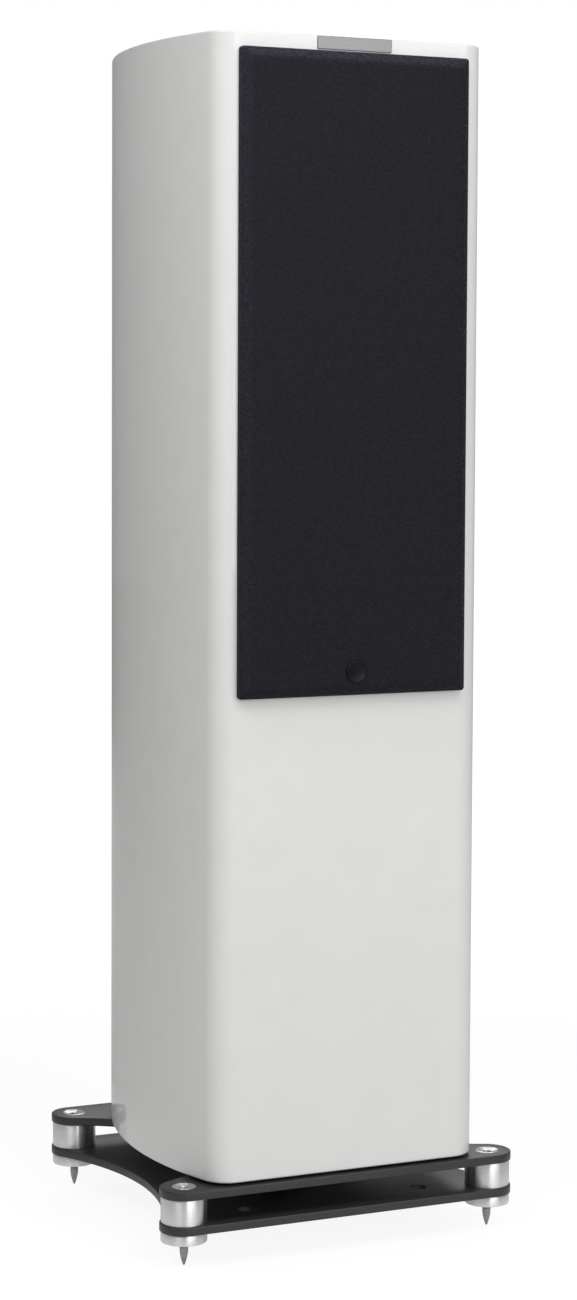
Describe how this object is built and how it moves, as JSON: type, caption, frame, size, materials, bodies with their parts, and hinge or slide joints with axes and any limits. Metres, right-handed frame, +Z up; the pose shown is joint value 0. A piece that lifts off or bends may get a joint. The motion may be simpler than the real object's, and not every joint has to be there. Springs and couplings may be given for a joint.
{
  "type": "floorstanding speaker",
  "caption": "Tall white bass-reflex loudspeaker with bowed sides, a black cloth grille over coaxial and bass drivers, and a two-plate spiked outrigger plinth.",
  "frame": {"origin": "centre of the bounding box on the floor, at the height of the spike tips", "axes": "+Z up, the front baffle and grille face -Y, +X to the right seen from the front"},
  "size_m": [0.3564, 0.3696, 1.111],
  "materials": {
    "lacquer": "white high-gloss lacquer on MDF",
    "birch_ply": "raw plywood",
    "foam": "open-cell damping foam",
    "port_plastic": "moulded ABS",
    "circuit_board": "green fibreglass board",
    "copper": "enamelled copper wire",
    "component_plastic": "capacitor film and ceramic blocks",
    "cable": "insulated copper cable",
    "terminal_plastic": "moulded ABS",
    "gilt_brass": "gold-plated brass",
    "red_knob": "clear-coated red plastic",
    "black_knob": "black plastic",
    "cast_alloy": "die-cast alloy, black powder coat",
    "ferrite": "sintered ferrite",
    "zinc_steel": "zinc-plated mild steel",
    "trim_rubber": "moulded rubber",
    "surround_rubber": "nitrile rubber",
    "pulp_cone": "coated paper pulp",
    "spider_cloth": "resin-stiffened cloth",
    "guide_plastic": "moulded ABS",
    "dome_metal": "pressed titanium-coloured foil",
    "frame_board": "black-stained MDF",
    "grille_fabric": "black acoustic cloth",
    "magnet_steel": "nickel-plated magnet",
    "badge_gloss": "gloss black disc, bare",
    "plate_alloy": "satin aluminium plate, bare",
    "screw_steel": "black oxide steel",
    "plinth_black": "satin charcoal powder coat",
    "seal_foam": "neoprene foam",
    "turned_alloy": "turned and polished aluminium",
    "spike_steel": "turned steel"
  },
  "bodies": {
    "root": {"front_baffle": "lacquer", "left_side_panel": "lacquer", "right_side_panel": "lacquer", "back_panel": "lacquer", "top_panel": "lacquer", "bottom_panel": "lacquer", "window_braces": "birch_ply", "damping_pads": "foam", "reflex_port": "port_plastic", "crossover_board": "circuit_board", "crossover_coils": "copper", "crossover_capacitors": "component_plastic", "internal_wiring": "cable", "terminal_plate": "terminal_plastic", "post_studs": "gilt_brass", "post_links": "gilt_brass", "driver_baskets": "cast_alloy", "driver_magnets": "ferrite", "driver_yokes": "zinc_steel", "driver_trims": "trim_rubber", "bass_surround": "surround_rubber", "bass_spider": "spider_cloth", "coaxial_surround": "surround_rubber", "coaxial_spider": "spider_cloth", "tweeter_waveguide": "guide_plastic", "baffle_magnets": "magnet_steel", "name_plate": "plate_alloy", "fixing_screws": "screw_steel", "upper_plate": "plinth_black", "lower_plate": "plinth_black", "plinth_seal": "seal_foam", "port_diffuser": "port_plastic", "spacers": "turned_alloy", "spike_caps": "turned_alloy"},
    "grille": {"grille_frame": "frame_board", "grille_cloth": "grille_fabric", "grille_magnets": "magnet_steel", "badge_disc": "badge_gloss"},
    "bass_diaphragm": {"bass_cone": "pulp_cone", "bass_dust_cap": "pulp_cone", "bass_voice_coil": "copper"},
    "coaxial_diaphragm": {"coaxial_cone": "pulp_cone", "coaxial_voice_coil": "copper"},
    "tweeter_diaphragm": {"tweeter_dome": "dome_metal"},
    "washer_1": {"post_washer_1": "gilt_brass"},
    "knob_1": {"post_knob_1": "red_knob"},
    "ring_1": {"lock_ring_1": "turned_alloy"},
    "foot_spike_1": {"spike_1": "spike_steel"},
    "washer_2": {"post_washer_2": "gilt_brass"},
    "knob_2": {"post_knob_2": "black_knob"},
    "ring_2": {"lock_ring_2": "turned_alloy"},
    "foot_spike_2": {"spike_2": "spike_steel"},
    "washer_3": {"post_washer_3": "gilt_brass"},
    "knob_3": {"post_knob_3": "red_knob"},
    "ring_3": {"lock_ring_3": "turned_alloy"},
    "foot_spike_3": {"spike_3": "spike_steel"},
    "washer_4": {"post_washer_4": "gilt_brass"},
    "knob_4": {"post_knob_4": "black_knob"},
    "ring_4": {"lock_ring_4": "turned_alloy"},
    "foot_spike_4": {"spike_4": "spike_steel"}
  },
  "joints": [
    {"name": "grille_pull_off", "type": "slide", "parent": "root", "child": "grille", "axis": [0, -1, 0], "range_m": [0, 0.06]},
    {"name": "bass_excursion", "type": "slide", "parent": "root", "child": "bass_diaphragm", "axis": [0, -1, 0], "range_m": [-0.006, 0.006], "stiffness_N_per_m": 2000, "deforming": ["bass_surround", "bass_spider"]},
    {"name": "coaxial_excursion", "type": "slide", "parent": "root", "child": "coaxial_diaphragm", "axis": [0, -1, 0], "range_m": [-0.005, 0.005], "stiffness_N_per_m": 2200, "deforming": ["coaxial_surround", "coaxial_spider"]},
    {"name": "tweeter_excursion", "type": "slide", "parent": "root", "child": "tweeter_diaphragm", "axis": [0, -1, 0], "range_m": [-0.0003, 0.0003], "stiffness_N_per_m": 3000},
    {"name": "washer_1_slide", "type": "slide", "parent": "root", "child": "washer_1", "axis": [0, 1, 0], "range_m": [0, 0.004]},
    {"name": "knob_1_unscrew", "type": "hinge", "parent": "washer_1", "child": "knob_1", "pos_m": [-0.0095, 0.1708, 0.209], "axis": [0, 1, 0], "range_deg": [0, 1441]},
    {"name": "washer_2_slide", "type": "slide", "parent": "root", "child": "washer_2", "axis": [0, 1, 0], "range_m": [0, 0.004]},
    {"name": "knob_2_unscrew", "type": "hinge", "parent": "washer_2", "child": "knob_2", "pos_m": [0.0095, 0.1708, 0.209], "axis": [0, 1, 0], "range_deg": [0, 1441]},
    {"name": "washer_3_slide", "type": "slide", "parent": "root", "child": "washer_3", "axis": [0, 1, 0], "range_m": [0, 0.004]},
    {"name": "knob_3_unscrew", "type": "hinge", "parent": "washer_3", "child": "knob_3", "pos_m": [-0.0095, 0.1708, 0.171], "axis": [0, 1, 0], "range_deg": [0, 1441]},
    {"name": "washer_4_slide", "type": "slide", "parent": "root", "child": "washer_4", "axis": [0, 1, 0], "range_m": [0, 0.004]},
    {"name": "knob_4_unscrew", "type": "hinge", "parent": "washer_4", "child": "knob_4", "pos_m": [0.0095, 0.1708, 0.171], "axis": [0, 1, 0], "range_deg": [0, 1441]},
    {"name": "ring_1_turn", "type": "hinge", "parent": "root", "child": "ring_1", "pos_m": [-0.1557, -0.1527, 0.0275], "axis": [0, 0, 1], "range_deg": [-720, 0]},
    {"name": "ring_2_turn", "type": "hinge", "parent": "root", "child": "ring_2", "pos_m": [0.1557, -0.1527, 0.0275], "axis": [0, 0, 1], "range_deg": [-720, 0]},
    {"name": "ring_3_turn", "type": "hinge", "parent": "root", "child": "ring_3", "pos_m": [0.1557, 0.1359, 0.0275], "axis": [0, 0, 1], "range_deg": [-720, 0]},
    {"name": "ring_4_turn", "type": "hinge", "parent": "root", "child": "ring_4", "pos_m": [-0.1557, 0.1359, 0.0275], "axis": [0, 0, 1], "range_deg": [-720, 0]},
    {"name": "spike_1_height", "type": "slide", "parent": "root", "child": "foot_spike_1", "axis": [0, 0, 1], "range_m": [-0.012, 0.006]},
    {"name": "spike_2_height", "type": "slide", "parent": "root", "child": "foot_spike_2", "axis": [0, 0, 1], "range_m": [-0.012, 0.006]},
    {"name": "spike_3_height", "type": "slide", "parent": "root", "child": "foot_spike_3", "axis": [0, 0, 1], "range_m": [-0.012, 0.006]},
    {"name": "spike_4_height", "type": "slide", "parent": "root", "child": "foot_spike_4", "axis": [0, 0, 1], "range_m": [-0.012, 0.006]}
  ],
  "couplings": [
    {"joint": "knob_1_unscrew", "follows": "washer_1_slide", "rad_per_m": 6283.2},
    {"joint": "knob_2_unscrew", "follows": "washer_2_slide", "rad_per_m": 6283.2},
    {"joint": "knob_3_unscrew", "follows": "washer_3_slide", "rad_per_m": 6283.2},
    {"joint": "knob_4_unscrew", "follows": "washer_4_slide", "rad_per_m": 6283.2}
  ]
}
